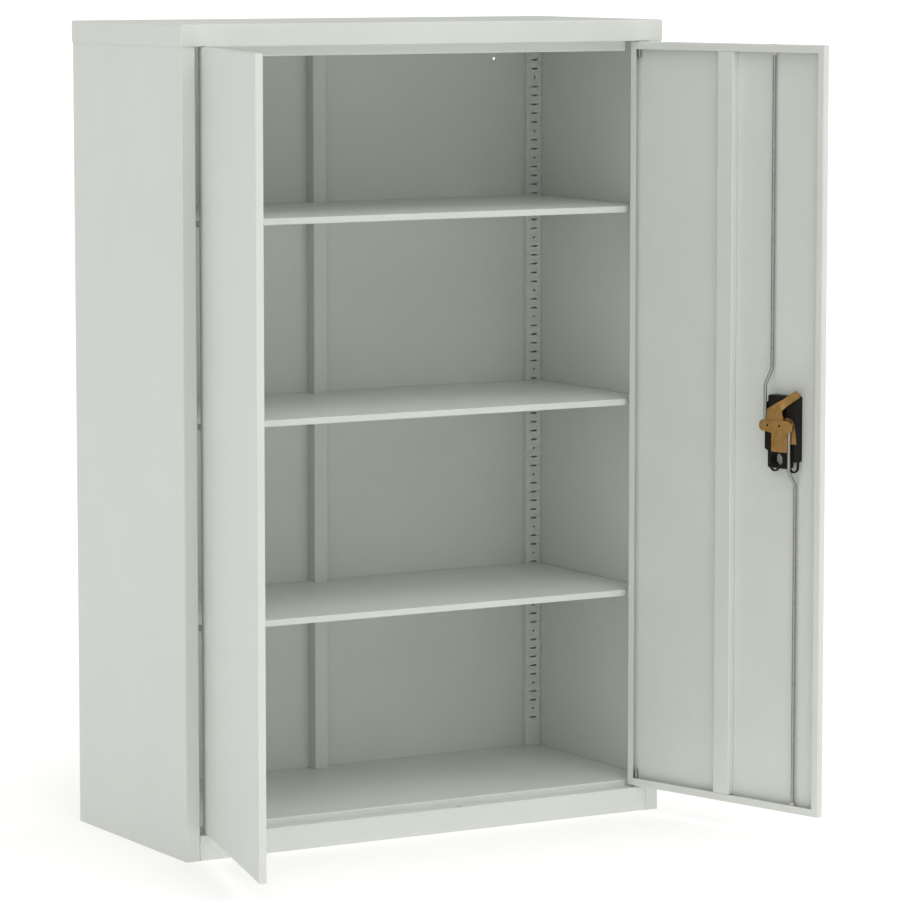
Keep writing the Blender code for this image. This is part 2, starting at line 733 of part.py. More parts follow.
def build_uprights():
    every_place = range(SLOT_COUNT)
    clip_places = range(FRONT_SLOT_START, SLOT_COUNT, FRONT_SLOT_STEP)
    kinds = (
        ("front", FRONT_UPRIGHT_WIDTH, FRONT_UPRIGHT_START, FRONT_UPRIGHT_Y, (0, 1, 0), clip_places),
        ("rear", REAR_UPRIGHT_WIDTH, BACK_FRONT, REAR_UPRIGHT_Y, (0, -1, 0), every_place),
    )
    for place, width, open_y, face_y, outward, places in kinds:
        for side, word in ((-1, "left"), (1, "right")):
            profile = channel(UPRIGHT_OUTER, UPRIGHT_OUTER - width, open_y, face_y)
            skin = bent_sheet(profile, (BOTTOM_TOP + SEAT_GAP, UNDER_CAP), along_z, bend=SHEET)
            face_outward(skin, outward)
            name = f"{place}_upright_{word}"
            upright = add_mesh(name, mirrored(skin, side), POWDER_COAT)
            solidify(upright, SHEET)
            cut(upright, slot_cutter(name + "_slots", side * slot_x(width), face_y, places))


def shelf_outline():
    half = INSIDE_HALF + SEAT_GAP - SHELF_SIDE_GAP
    front_half = half - SHELF_CORNER_WIDTH
    corner_y = SHELF_FRONT_Y + SHELF_CORNER_DEPTH
    back_y = BACK_FIELD_Y - SHELF_BACK_GAP
    upright_x = UPRIGHT_OUTER - REAR_UPRIGHT_WIDTH - UPRIGHT_NOTCH_GAP_X
    upright_y = REAR_UPRIGHT_Y - UPRIGHT_NOTCH_GAP_Y
    notch_x = STIFFENER_WIDTH / 2 + STIFFENER_NOTCH_GAP_X
    notch_y = BACK_FIELD_Y - STIFFENER_DEPTH - STIFFENER_NOTCH_GAP_Y
    right = [
        (front_half, SHELF_FRONT_Y),
        (front_half, corner_y),
        (half, corner_y),
        (half, upright_y),
        (upright_x, upright_y),
        (upright_x, back_y),
        (notch_x, back_y),
        (notch_x, notch_y),
    ]
    return right + [(-x, y) for x, y in reversed(right)]


def build_shelves():
    outline = shelf_outline()
    for word, index in SHELF_SLOTS.items():
        top = shelf_top(index)
        skin = tray_skin(outline, top, -SHELF_LIP, SHELF_RETURN, along_z, (0, 0, 1), bend=SHEET, steps=1)
        solidify(add_mesh("shelf_" + word, skin, POWDER_COAT), SHEET)


def clip_skin(x, z, face_y, into_room, ledge):
    """A clip's middle surface: a nose and a ledge in the room, a tongue in the slot and a hook behind."""
    nose_y = face_y + into_room * ledge
    hook_y = face_y - into_room * (SHEET + CLIP_HOOK_GAP + CLIP_THICKNESS / 2)
    profile = [(nose_y, z - CLIP_NOSE), (nose_y, z), (hook_y, z), (hook_y, z - CLIP_HOOK)]
    return bent_sheet(profile, (x - CLIP_WIDTH / 2, x + CLIP_WIDTH / 2), along_x, bend=SHEET)


def build_clips():
    corners = (
        ("front", FRONT_UPRIGHT_Y, 1, CLIP_LEDGE_FRONT, slot_x(FRONT_UPRIGHT_WIDTH)),
        ("rear", REAR_UPRIGHT_Y, -1, CLIP_LEDGE_REAR, slot_x(REAR_UPRIGHT_WIDTH)),
    )
    for level, index in SHELF_SLOTS.items():
        for place, face_y, into_room, ledge, x in corners:
            for side, word in ((-1, "left"), (1, "right")):
                skin = clip_skin(side * x, slot_z(index), face_y, into_room, ledge)
                clip = add_mesh(f"clip_{level}_{place}_{word}", skin, ZINC_STEEL)
                solidify(clip, CLIP_THICKNESS, offset=0.0)


def build_hinge_pins():
    """Each pin stands in the header or the plinth, its head hidden behind, and reaches into the door."""
    for side, word in ((-1, "left"), (1, "right")):
        axis = (side * HINGE_X, HINGE_FROM_SKIN, 0)
        head = HEADER_Z + SHEET + SEAT_GAP
        tip = DOOR_TOP - DOOR_LIP - PIN_REACH
        top = [(0, head + PIN_HEAD), (PIN_HEAD_RADIUS, head + PIN_HEAD), (PIN_HEAD_RADIUS, head)]
        top += [(PIN_RADIUS, head), (PIN_RADIUS, tip + SHEET), (PIN_RADIUS - SHEET, tip), (0, tip)]
        turned("hinge_pin_top_" + word, top, ZINC_STEEL, location=axis)
        head = PLINTH_HEIGHT - SHEET - SEAT_GAP
        tip = DOOR_BOTTOM + DOOR_LIP + PIN_REACH
        low = [(0, tip), (PIN_RADIUS - SHEET, tip), (PIN_RADIUS, tip - SHEET), (PIN_RADIUS, head)]
        low += [(PIN_HEAD_RADIUS, head), (PIN_HEAD_RADIUS, head - PIN_HEAD), (0, head - PIN_HEAD)]
        turned("hinge_pin_bottom_" + word, low, ZINC_STEEL, location=axis)
        washer_low, washer_high = PLINTH_HEIGHT + SEAT_GAP, DOOR_BOTTOM - SEAT_GAP
        inner = PIN_RADIUS + RUNNING_GAP
        ring("door_washer_" + word, inner, WASHER_RADIUS, washer_low, washer_high, NYLON, location=axis)


def build_door(side, word):
    """A door pan with its stiffener and pivot plates, on an empty that stands on its hinge axis."""
    turn = side * DOOR_OPEN
    door = add_frame(word + "_door_axis", (side * HINGE_X, HINGE_FROM_SKIN, 0), (0, 0, turn))
    outline = rectangle(-DOOR_FREE_EDGE, DOOR_BOTTOM, HINGE_FROM_EDGE, DOOR_TOP)
    skin = tray_skin(outline, SKIN_N, DOOR_THICKNESS, DOOR_LIP, along_y, (0, -1, 0))
    pan = add_mesh(word + "_door_panel", mirrored(skin, side), POWDER_COAT, door)
    solidify(pan, SHEET)

    middle = HINGE_FROM_EDGE - DOOR_WIDTH / 2
    half = DOOR_STIFFENER_WIDTH / 2
    profile = channel(middle - half, middle + half, SKIN_INNER_N + SEAT_GAP, LIP_N)
    span = (DOOR_BOTTOM + DOOR_LIP + SEAT_GAP, DOOR_TOP - DOOR_LIP - SEAT_GAP)
    skin = bent_sheet(profile, span, along_z)
    face_outward(skin, (0, 1, 0))
    solidify(add_mesh(word + "_door_stiffener", mirrored(skin, side), POWDER_COAT, door), SHEET)

    bm = bmesh.new()
    low, high = (0, 0, DOOR_BOTTOM - OVERRUN), (0, 0, DOOR_TOP + OVERRUN)
    add_rod_shape(bm, PIN_RADIUS + RUNNING_GAP, low, high)
    pin_bore = add_mesh(word + "_pin_bore", bm, None, door)
    cut(pan, pin_bore)

    wall = HINGE_FROM_EDGE - SHEET - SEAT_GAP
    depths = (SKIN_INNER_N + PIVOT_PLATE_FOLD_GAP, LIP_N - SHEET - PIVOT_PLATE_FOLD_GAP)
    for place, seat, drop in (("top", DOOR_TOP, -1), ("bottom", DOOR_BOTTOM, 1)):
        seat_z = seat + drop * (SHEET + SEAT_GAP)
        end_z = seat_z + drop * PIVOT_PLATE_DROP
        profile = [(wall - PIVOT_PLATE_LENGTH, seat_z), (wall, seat_z), (wall, end_z)]
        skin = bent_sheet(profile, depths, along_y, bend=PIVOT_PLATE_SHEET * 2)
        face_outward(skin, (0, 0, -drop))
        name = f"pivot_plate_{place}_{word}"
        pivot = add_mesh(name, mirrored(skin, side), ZINC_STEEL, door)
        solidify(pivot, PIVOT_PLATE_SHEET)
        cut(pivot, pin_bore)
    return door, pan


def rod_path(arm, crank_b, end_b):
    """A lock rod's centre line from its tip in the door's wall to the pin in the rear plate's slot."""
    outer, inner = crank_b[1], crank_b[0]
    line = [(ROD_N, end_b), (ROD_N, outer), (ROD_FRONT_N, inner), (ROD_FRONT_N, 0), (ROD_PIN_N, 0)]
    bent = [Vector(line[0])]
    for index, radius in ((1, ROD_BEND), (2, ROD_BEND), (3, ROD_LINK_BEND)):
        bent += corner_arc(line[index - 1], line[index], line[index + 1], radius, BEND_STEPS + 1)
    bent.append(Vector(line[-1]))
    return [(arm, b, n) for n, b in bent]


def build_rod(name, points, parent):
    curve = bpy.data.curves.new(name, "CURVE")
    curve.dimensions = "3D"
    curve.bevel_depth = ROD_RADIUS
    curve.bevel_resolution = 2
    curve.use_fill_caps = True
    spline = curve.splines.new("POLY")
    spline.points.add(len(points) - 1)
    for place, point in zip(spline.points, points):
        place.co = (*point, 1)
    return add_object(name, curve, ZINC_STEEL, parent)


def cam_outline():
    """The cam plate: a round left end, two shoulders on the right and a broad stem hanging down."""
    left_end = Vector((-CRANK_ARM, 0))
    start = Vector((0, CAM_END_RADIUS))
    side = Vector((-CAM_END_RADIUS, 0))
    end = (Vector(CAM_ARM_UNDER) - left_end).normalized() * CAM_END_RADIUS
    outline = list(arc_between(left_end, start, side, ARC_STEPS))
    outline += list(arc_between(left_end, side, end, ARC_STEPS))[1:]
    outline += [(CAM_STEM_LEFT, CAM_STEM_TOP)]
    stem = [(CAM_STEM_LEFT, CAM_STEM_TOP), (CAM_STEM_LEFT, CAM_STEM_END)]
    stem += [(CAM_STEM_RIGHT, CAM_STEM_END), (CAM_STEM_RIGHT, CAM_STEM_TOP)]
    outline += corner_arc(*stem[:3], HOOK_CORNER_RADIUS, BEND_STEPS)
    outline += corner_arc(*stem[1:], HOOK_CORNER_RADIUS, BEND_STEPS)
    outline += [(CAM_STEM_RIGHT, CAM_STEM_TOP), CAM_UNDER_TIP, CAM_TIP, CAM_SHOULDER]
    outline += [(-CRANK_ARM / 2, CAM_TOP_B)]
    return outline


def link_slot(side):
    """The slot that lets a rod's pin keep to its straight line while the cam's arm turns."""
    inner = CRANK_ARM - ROD_RADIUS - LINK_GAP
    outer = CRANK_ARM / math.cos(HANDLE_TURN) + ROD_RADIUS + LINK_GAP
    middle = side * (inner + outer) / 2
    return stadium((middle, 0), (outer - inner) / 2, ROD_RADIUS + LINK_GAP)


def hook_outline():
    hook = [
        HOOK_FOOT_LEFT,
        HOOK_FOOT_RIGHT,
        HOOK_NECK_RIGHT,
        HOOK_THROAT,
        HOOK_ARM_UNDER,
        HOOK_TIP_UNDER,
        HOOK_TIP,
        HOOK_TIP_OVER,
        HOOK_BACK_RIGHT,
        HOOK_BACK_LEFT,
        HOOK_NECK_LEFT,
    ]
    return rounded(hook, HOOK_CORNER_RADIUS, BEND_STEPS, closed=True)


def drop_finger(hook):
    """Bends the hook's finger to a lower level, with a short slope where it leaves the neck."""
    bm = bmesh.new()
    bm.from_mesh(hook.data)
    along = Vector((*FINGER_DIRECTION, 0))
    for reach in FINGER_BENDS:
        whole = bm.verts[:] + bm.edges[:] + bm.faces[:]
        bmesh.ops.bisect_plane(bm, geom=whole, plane_co=along * reach, plane_no=along)
    start, end = FINGER_BENDS
    for vert in bm.verts:
        share = (vert.co.dot(along) - start) / (end - start)
        vert.co.z -= FINGER_DROP * min(max(share, 0), 1)
    bm.to_mesh(hook.data)
    bm.free()


def leaf_outline():
    """The rear plate: a round left end, a straight arm, and on the right a leaf that hangs down."""
    left_end = Vector((-CRANK_ARM, 0))
    up, out = Vector((0, LEAF_ARM_RADIUS)), Vector((-LEAF_ARM_RADIUS, 0))
    outline = list(arc_between(left_end, up, out, ARC_STEPS))
    outline += list(arc_between(left_end, out, -up, ARC_STEPS))[1:]
    outline += [(-CRANK_ARM - LEAF_UNDER_B, LEAF_UNDER_B), (LEAF_ROOT_A, LEAF_UNDER_B)]
    outline += [LEAF_END_IN, LEAF_END_OUT, LEAF_SIDE, LEAF_SHOULDER, LEAF_TOP, LEAF_RISE]
    outline += [(LEAF_DIP_A, LEAF_ARM_RADIUS)]
    return outline


def rim_outline():
    """The leaf's turned-up rim, from its rise over the shoulder to its side."""
    outer = [Vector(place) for place in (LEAF_RISE, LEAF_TOP, LEAF_SHOULDER, LEAF_SIDE)]
    inner = []
    for index, corner in enumerate(outer):
        before, after = outer[max(index - 1, 0)], outer[min(index + 1, len(outer) - 1)]
        outward = (after - before).orthogonal().normalized()
        inner.append(corner - outward * LEAF_RIM_WALL)
    return outer + inner[::-1]


def build_cam(handle):
    """Three plates on two rivets. The rods' ends lie between the front plate and the rear one."""
    rivet_bores = [list(circle(place, RIVET_RADIUS + SEAT_GAP)) for place in RIVET_PLACES.values()]
    plate("cam_plate", [cam_outline(), *rivet_bores], CAM_PLATE_N, CAM_FRONT_N, YELLOW_ZINC, handle)

    tip_bore = list(circle((0, 0), SPINDLE_TIP_RADIUS + SEAT_GAP))
    outlines = [hook_outline(), tip_bore, *rivet_bores]
    drop_finger(as_mesh(plate("latch_hook", outlines, HOOK_REAR_N, HOOK_FRONT_N, YELLOW_ZINC, handle)))

    spindle_bore = list(circle((0, 0), SPINDLE_RADIUS + SEAT_GAP))
    outlines = [leaf_outline(), spindle_bore, *rivet_bores, link_slot(-1), link_slot(1)]
    leaf = as_mesh(plate("cam_leaf", outlines, LEAF_N, LEAF_FRONT_N, YELLOW_ZINC, handle))
    rim_low, rim_high = LEAF_N + LEAF_SHEET / 2, LEAF_FRONT_N + LEAF_RIM
    rim = plate("leaf_rim", [rim_outline()], rim_low, rim_high, parent=handle)
    cut(leaf, as_mesh(rim), "UNION")

    front = CAM_FRONT_N + SEAT_GAP
    top = front + RIVET_HEAD
    spacer = (HOOK_REAR_N - SEAT_GAP, LEAF_FRONT_N + SEAT_GAP)
    for word, (a, b) in RIVET_PLACES.items():
        profile = [(0, top - RIVET_HOLLOW_DEPTH), (RIVET_HOLLOW_RADIUS, top - RIVET_HOLLOW_DEPTH)]
        profile += [(RIVET_HOLLOW_RADIUS, top), (RIVET_RADIUS, top), (RIVET_HEAD_RADIUS, front)]
        profile += [(RIVET_RADIUS, front), (RIVET_RADIUS, spacer[0]), (SPACER_RADIUS, spacer[0])]
        profile += [(SPACER_RADIUS, spacer[1]), (RIVET_RADIUS, spacer[1]), (RIVET_RADIUS, LEAF_N)]
        profile += [(0, LEAF_N)]
        turned("cam_rivet_" + word, profile, YELLOW_ZINC, handle, (a, b, 0), sides=RIVET_SIDES)


def case_outline():
    outline = [
        (CASE_RIGHT, CASE_TOP),
        (CASE_LEFT, CASE_TOP),
        (CASE_LEFT, CASE_EAR_TOP),
        (CASE_EAR_LEFT, CASE_EAR_TOP),
        (CASE_EAR_LEFT, CASE_EAR_BOTTOM),
        (CASE_LEFT, CASE_EAR_BOTTOM),
        (CASE_LEFT, CASE_CHIN_BOTTOM),
        (CASE_CHIN_RIGHT, CASE_CHIN_BOTTOM),
        (CASE_CHIN_RIGHT, CASE_BOTTOM),
        (CASE_RIGHT, CASE_BOTTOM),
    ]
    return rounded(outline, CASE_CORNER_RADIUS, BEND_STEPS, closed=True)


def loop_outline(centre_a, seat_b):
    """A U-shaped loop whose two legs run up into the case's lower edge."""
    top = seat_b + CASE_LOOP_ROOT
    low = CASE_LOOP_BOTTOM + CASE_LOOP_RADIUS
    sides = []
    for radius in (CASE_LOOP_RADIUS, CASE_LOOP_RADIUS - CASE_LOOP_WALL):
        side = [(centre_a - radius, top)]
        for step in range(2 * ARC_STEPS + 1):
            turn = math.pi * (1 + step / ARC_STEPS / 2)
            side.append((centre_a + radius * math.cos(turn), low + radius * math.sin(turn)))
        sides.append(side + [(centre_a + radius, top)])
    return sides[0] + sides[1][::-1]


def build_lock_case(lock):
    """The moulded case, with a wide window low down and two thin loops under it."""
    spindle_bore = circle((0, 0), SPINDLE_RADIUS + SEAT_GAP)
    cylinder_bore = circle((0, CYLINDER_B), CYLINDER_RADIUS + CYLINDER_BORE_GAP)
    window = stadium(CASE_OVAL, CASE_OVAL_HALF_WIDTH, CASE_OVAL_HALF_HEIGHT)
    outlines = [case_outline(), spindle_bore, cylinder_bore, window]
    rear = SKIN_INNER_N + SEAT_GAP
    case = as_mesh(plate("lock_case", outlines, rear, CASE_FACE_N, BLACK_PLASTIC, lock, CASE_EDGE_RADIUS))
    loop_high = CASE_LOOP_N + CASE_LOOP_THICKNESS
    for index, (a, seat_b) in enumerate(CASE_LOOPS):
        outline = loop_outline(a, seat_b)
        loop = plate(f"case_loop_{index}", [outline], CASE_LOOP_N, loop_high, parent=lock)
        cut(case, as_mesh(loop), "UNION")


def build_handle(lock, handle, pan):
    """Spindle, outside handle, rose and key cylinder, with their bores in the door's skin."""
    shoulder = HOOK_REAR_N - SEAT_GAP
    profile = [(0, HOOK_FRONT_N), (SPINDLE_TIP_RADIUS, HOOK_FRONT_N), (SPINDLE_TIP_RADIUS, shoulder)]
    profile += [(SPINDLE_RADIUS, shoulder), (SPINDLE_RADIUS, SPINDLE_OUTER_N), (0, SPINDLE_OUTER_N)]
    turned("handle_spindle", profile, ZINC_STEEL, handle)

    centre_b = (ROSE_TOP + ROSE_BOTTOM) / 2
    outline = stadium((0, centre_b), ROSE_HALF_WIDTH, ROSE_TOP - centre_b)
    spindle_bore = circle((0, 0), SPINDLE_RADIUS + SEAT_GAP)
    cylinder_bore = circle((0, CYLINDER_B), CYLINDER_RADIUS + CYLINDER_BORE_GAP)
    outlines = [outline, spindle_bore, cylinder_bore]
    plate("handle_rose", outlines, ROSE_FRONT_N, ROSE_REAR_N, BLACK_PLASTIC, lock, ROSE_EDGE)

    grip_outline = stadium((0, 0), GRIP_HALF_WIDTH, GRIP_LENGTH / 2)
    low = HUB_FRONT_N - GRIP_THICKNESS + GRIP_EDGE
    high = HUB_FRONT_N + GRIP_EDGE
    grip = as_mesh(plate("turn_handle", [grip_outline], low, high, BLACK_PLASTIC, handle, GRIP_EDGE))
    grip.rotation_euler = (0, 0, HANDLE_TURN)
    bm = bmesh.new()
    add_rod_shape(bm, HUB_RADIUS, (0, 0, low + GRIP_EDGE), (0, 0, HUB_REAR_N))
    cut(grip, add_mesh("handle_hub", bm, None, handle), "UNION")
    bm = bmesh.new()
    low, high = SPINDLE_OUTER_N - SEAT_GAP, HUB_REAR_N + OVERRUN
    add_rod_shape(bm, SPINDLE_RADIUS + SEAT_GAP, (0, 0, low), (0, 0, high))
    cut(grip, add_mesh("spindle_socket", bm, None, handle))

    key = add_frame("key_axis", (0, CYLINDER_B, 0), (0, 0, 0), lock)
    face = ROSE_FRONT_N - CYLINDER_PROUD
    profile = [(0, face + CYLINDER_DEPTH), (CYLINDER_RADIUS, face + CYLINDER_DEPTH)]
    profile += [(CYLINDER_RADIUS, face + CYLINDER_EDGE), (CYLINDER_RADIUS - CYLINDER_EDGE, face)]
    profile += [(0, face)]
    cylinder = turned("key_cylinder", profile, ZINC_STEEL, key)
    bm = bmesh.new()
    low = (-KEYWAY_WIDTH / 2, -KEYWAY_HEIGHT / 2, face - OVERRUN)
    add_block(bm, low, (KEYWAY_WIDTH / 2, KEYWAY_HEIGHT / 2, face + KEYWAY_DEPTH))
    cut(cylinder, add_mesh("keyway", bm, None, key))

    bm = bmesh.new()
    low, high = SKIN_N - OVERRUN, SKIN_INNER_N + OVERRUN
    add_rod_shape(bm, SPINDLE_RADIUS + SEAT_GAP, (0, 0, low), (0, 0, high))
    radius = CYLINDER_RADIUS + CYLINDER_BORE_GAP
    add_rod_shape(bm, radius, (0, CYLINDER_B, low), (0, CYLINDER_B, high))
    cut(pan, add_mesh("lock_bores", bm, None, lock))


def build_lock(door, pan):
    """The rod lock on the right door, seen from inside, with its rods drawn back."""
    place = (-LOCK_FROM_HINGE, 0, LOCK_Z)
    lock = add_frame("lock_axis", place, (math.pi / 2, 0, math.pi), door)
    handle = add_frame("handle_axis", (0, 0, 0), (0, 0, 0), lock)
    build_lock_case(lock)
    build_cam(handle)
    build_handle(lock, handle, pan)

    top_end = DOOR_TOP + ROD_TIP - LOCK_Z
    bottom_end = DOOR_BOTTOM - ROD_TIP - LOCK_Z
    build_rod("upper_lock_rod", rod_path(-CRANK_ARM, UPPER_CRANK_B, top_end), lock)
    build_rod("lower_lock_rod", rod_path(CRANK_ARM, LOWER_CRANK_B, bottom_end), lock)
    bm = bmesh.new()
    seats = (
        ("top", -CRANK_ARM, DOOR_TOP - SHEET, DOOR_TOP - SHEET - SEAT_GAP - BUSH_HEIGHT),
        ("bottom", CRANK_ARM, DOOR_BOTTOM + SHEET, DOOR_BOTTOM + SHEET + SEAT_GAP),
    )
    for word, arm, wall_z, bush_low in seats:
        x = -LOCK_FROM_HINGE - arm
        radius = ROD_RADIUS + ROD_HOLE_GAP
        add_rod_shape(bm, radius, (x, ROD_N, wall_z - OVERRUN), (x, ROD_N, wall_z + OVERRUN))
        high, place = bush_low + BUSH_HEIGHT, (x, ROD_N, 0)
        ring("rod_bush_" + word, radius, BUSH_RADIUS, bush_low, high, NYLON, door, place)
    cut(pan, add_mesh("rod_bores", bm, None, door))


def main():
    build_cap()
    bores = build_frame_bores()
    build_header(bores)
    build_plinth(bores)
    build_side_panels()
    build_bottom_panel()
    build_back_panel()
    build_back_stiffener()
    build_uprights()
    build_shelves()
    build_clips()
    build_hinge_pins()
    build_door(-1, "left")
    door, pan = build_door(1, "right")
    build_lock(door, pan)


main()
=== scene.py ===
"""The looks of a two-door sheet-steel storage cabinet: its finishes, its rounded sheet edges, and the
floor, light and camera of a plain studio.

The frame is the cabinet's own: x to the right as seen from the front, y from the front to the back
and z up from the floor, in metres.
"""

import json
import math

import bmesh
import bpy
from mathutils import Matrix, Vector


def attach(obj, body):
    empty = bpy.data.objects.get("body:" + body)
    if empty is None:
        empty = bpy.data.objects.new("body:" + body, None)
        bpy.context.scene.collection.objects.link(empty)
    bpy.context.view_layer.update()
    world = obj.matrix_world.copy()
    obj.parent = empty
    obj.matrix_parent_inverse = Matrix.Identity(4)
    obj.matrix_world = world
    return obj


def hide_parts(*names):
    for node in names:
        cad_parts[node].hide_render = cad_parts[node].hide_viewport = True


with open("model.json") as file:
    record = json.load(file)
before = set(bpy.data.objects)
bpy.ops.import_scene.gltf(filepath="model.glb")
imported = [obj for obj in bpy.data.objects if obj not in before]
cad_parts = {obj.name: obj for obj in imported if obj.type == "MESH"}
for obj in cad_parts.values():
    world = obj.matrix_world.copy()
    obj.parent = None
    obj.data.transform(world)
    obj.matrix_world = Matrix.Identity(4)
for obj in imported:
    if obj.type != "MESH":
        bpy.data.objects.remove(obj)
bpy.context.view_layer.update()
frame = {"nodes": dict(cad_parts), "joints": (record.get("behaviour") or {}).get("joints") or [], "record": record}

MM = 0.001

# Camera: its place in metres, its turn to the right and its dip, and its sensor and lens in millimetres
CAMERA_PLACE = (-3.6067, -6.2911, 1.4717)
CAMERA_TURN = math.radians(30.098)
CAMERA_DIP = math.radians(6.533)
SENSOR_WIDTH = 36.0
CAMERA_LENS = 178.13

# Studio
FLOOR_RADIUS = 160.0
FLOOR_SIDES = 96
FLOOR_GLOW = 0.30
BACKDROP_STRENGTH = 1.0
# Each soft light: degrees to the right of the front and degrees up to its middle, degrees from its
# middle to where it starts to fade and to where it ends, and its strength
SOFT_LIGHTS = {
    "high_front": (0, 49, 16, 38, 1.42),
    "low_front": (-10, 6, 18, 40, 0.46),
    "low_left": (-75, 8, 28, 52, 0.68),
    "right": (85, 22, 22, 46, 0.94),
    "ceiling": (0, 88, 26, 50, 1.02),
    "behind": (180, 20, 12, 40, 0.66),
}

# Edges and shading. Facets nearer to flat than the first angle merge. Corners sharper than the second
# are rounded.
WELD = 0.01 * MM
FLAT_ANGLE = math.radians(0.6)
EDGE_ANGLE = math.radians(52)
SHEET_EDGE = 0.22 * MM
MOULDED_EDGE = 0.35 * MM
PLATE_EDGE = 0.18 * MM
EDGE_STEPS = 2
BROAD_FACE_WEIGHT = 90

# How far from a rivet's middle line lie the middles of the faces given painted shade, its hollow and the ring
RIVET_SHADE_REACH = 2.0 * MM

NODES = frame["nodes"]
BODY_OF = {node: body for body, nodes in frame["record"]["behaviour"]["bodies"].items() for node in nodes}
HANDLE_AXIS = Vector(next(joint["axis"] for joint in frame["joints"] if joint["name"] == "handle_turn"))
SLOT_OF = {part["node"]: part["material_slot"] for part in frame["record"]["subparts"]}


def linear(code):
    """An sRGB hex colour as linear red, green, blue and full alpha."""
    levels = [int(code[place:place + 2], 16) / 255 for place in (1, 3, 5)]
    return [c / 12.92 if c <= 0.04045 else ((c + 0.055) / 1.055) ** 2.4 for c in levels] + [1.0]


def add(tree, kind, inputs=None, **settings):
    """A node with its settings. An input takes a number, a colour or another node's socket."""
    node = tree.nodes.new("ShaderNode" + kind)
    for name, value in settings.items():
        setattr(node, name, value)
    for name, value in (inputs or {}).items():
        if isinstance(value, bpy.types.NodeSocket):
            tree.links.new(value, node.inputs[name])
        else:
            node.inputs[name].default_value = value
    return node


def new_finish(name):
    """A material, its node tree, its Principled shader and a socket of place on the piece, in metres."""
    made = bpy.data.materials.new(name)
    made.use_nodes = True
    tree = made.node_tree
    place = add(tree, "TexCoord").outputs["Object"]
    return made, tree, tree.nodes["Principled BSDF"], place


def powder_coated_steel():
    """Cold-rolled sheet under a sprayed and baked polyester powder.

    The powder melts into a satin skin with orange peel, about 2 mm from crest to crest and a few
    microns high. The crests are drawn at 3 mm, since finer ones don't show. The sheet under it is
    never quite flat, which bends the gloss slowly over a hand's width.
    """
    made, tree, shader, place = new_finish("powder_coated_steel")
    cloud = add(
        tree, "TexNoise", {"Vector": place, "Scale": 1 / (160 * MM), "Detail": 3.0, "Roughness": 0.55}
    )
    speck = add(tree, "TexNoise", {"Vector": place, "Scale": 1 / (4 * MM), "Detail": 2.0, "Roughness": 0.6})
    mixed = add(tree, "Mix", {"Factor": 0.35, "A": cloud.outputs["Fac"], "B": speck.outputs["Fac"]})
    tint = add(tree, "ValToRGB", {"Fac": mixed.outputs["Result"]})
    tint.color_ramp.elements[0].position = 0.3
    tint.color_ramp.elements[0].color = linear("#D6D9D3")
    tint.color_ramp.elements[1].position = 0.7
    tint.color_ramp.elements[1].color = linear("#DCDFD9")
    gloss = add(
        tree, "MapRange",
        {"Value": cloud.outputs["Fac"], "From Min": 0.3, "From Max": 0.7, "To Min": 0.36, "To Max": 0.46},
    )
    peel = add(tree, "TexNoise", {"Vector": place, "Scale": 1 / (3 * MM), "Detail": 1.5, "Roughness": 0.5})
    peel_bump = add(tree, "Bump", {"Height": peel.outputs["Fac"], "Strength": 0.5, "Distance": 0.03 * MM})
    wave = add(tree, "TexNoise", {"Vector": place, "Scale": 1 / (140 * MM), "Detail": 0.0})
    wave_bump = add(
        tree, "Bump",
        {
            "Height": wave.outputs["Fac"], "Strength": 0.4, "Distance": 0.8 * MM,
            "Normal": peel_bump.outputs["Normal"],
        },
    )
    tree.links.new(tint.outputs["Color"], shader.inputs["Base Color"])
    tree.links.new(gloss.outputs["Result"], shader.inputs["Roughness"])
    tree.links.new(wave_bump.outputs["Normal"], shader.inputs["Normal"])
    shader.inputs["IOR"].default_value = 1.5
    return made


def bright_zinc():
    """Drawn or stamped steel with a bright zinc plate, passivated clear.

    Drawing leaves lines along the piece, some tenths of a millimetre apart, and the plate has a
    faint cloudy grain.
    """
    made, tree, shader, place = new_finish("bright_zinc")
    drawn = add(tree, "Mapping", {"Vector": place, "Scale": (1.0, 1.0, 0.02)})
    lines = add(
        tree, "TexNoise", {"Vector": drawn.outputs["Vector"], "Scale": 1 / (0.8 * MM), "Detail": 2.0}
    )
    grain = add(
        tree, "TexNoise", {"Vector": place, "Scale": 1 / (6 * MM), "Detail": 4.0, "Roughness": 0.65}
    )
    tint = add(tree, "ValToRGB", {"Fac": grain.outputs["Fac"]})
    tint.color_ramp.elements[0].position = 0.35
    tint.color_ramp.elements[0].color = linear("#9C9E9B")
    tint.color_ramp.elements[1].position = 0.68
    tint.color_ramp.elements[1].color = linear("#AEAFAC")
    gloss = add(
        tree, "MapRange",
        {"Value": lines.outputs["Fac"], "From Min": 0.3, "From Max": 0.7, "To Min": 0.36, "To Max": 0.48},
    )
    bump = add(tree, "Bump", {"Height": lines.outputs["Fac"], "Strength": 0.25, "Distance": 0.02 * MM})
    tree.links.new(tint.outputs["Color"], shader.inputs["Base Color"])
    tree.links.new(gloss.outputs["Result"], shader.inputs["Roughness"])
    tree.links.new(bump.outputs["Normal"], shader.inputs["Normal"])
    shader.inputs["Metallic"].default_value = 1.0
    return made


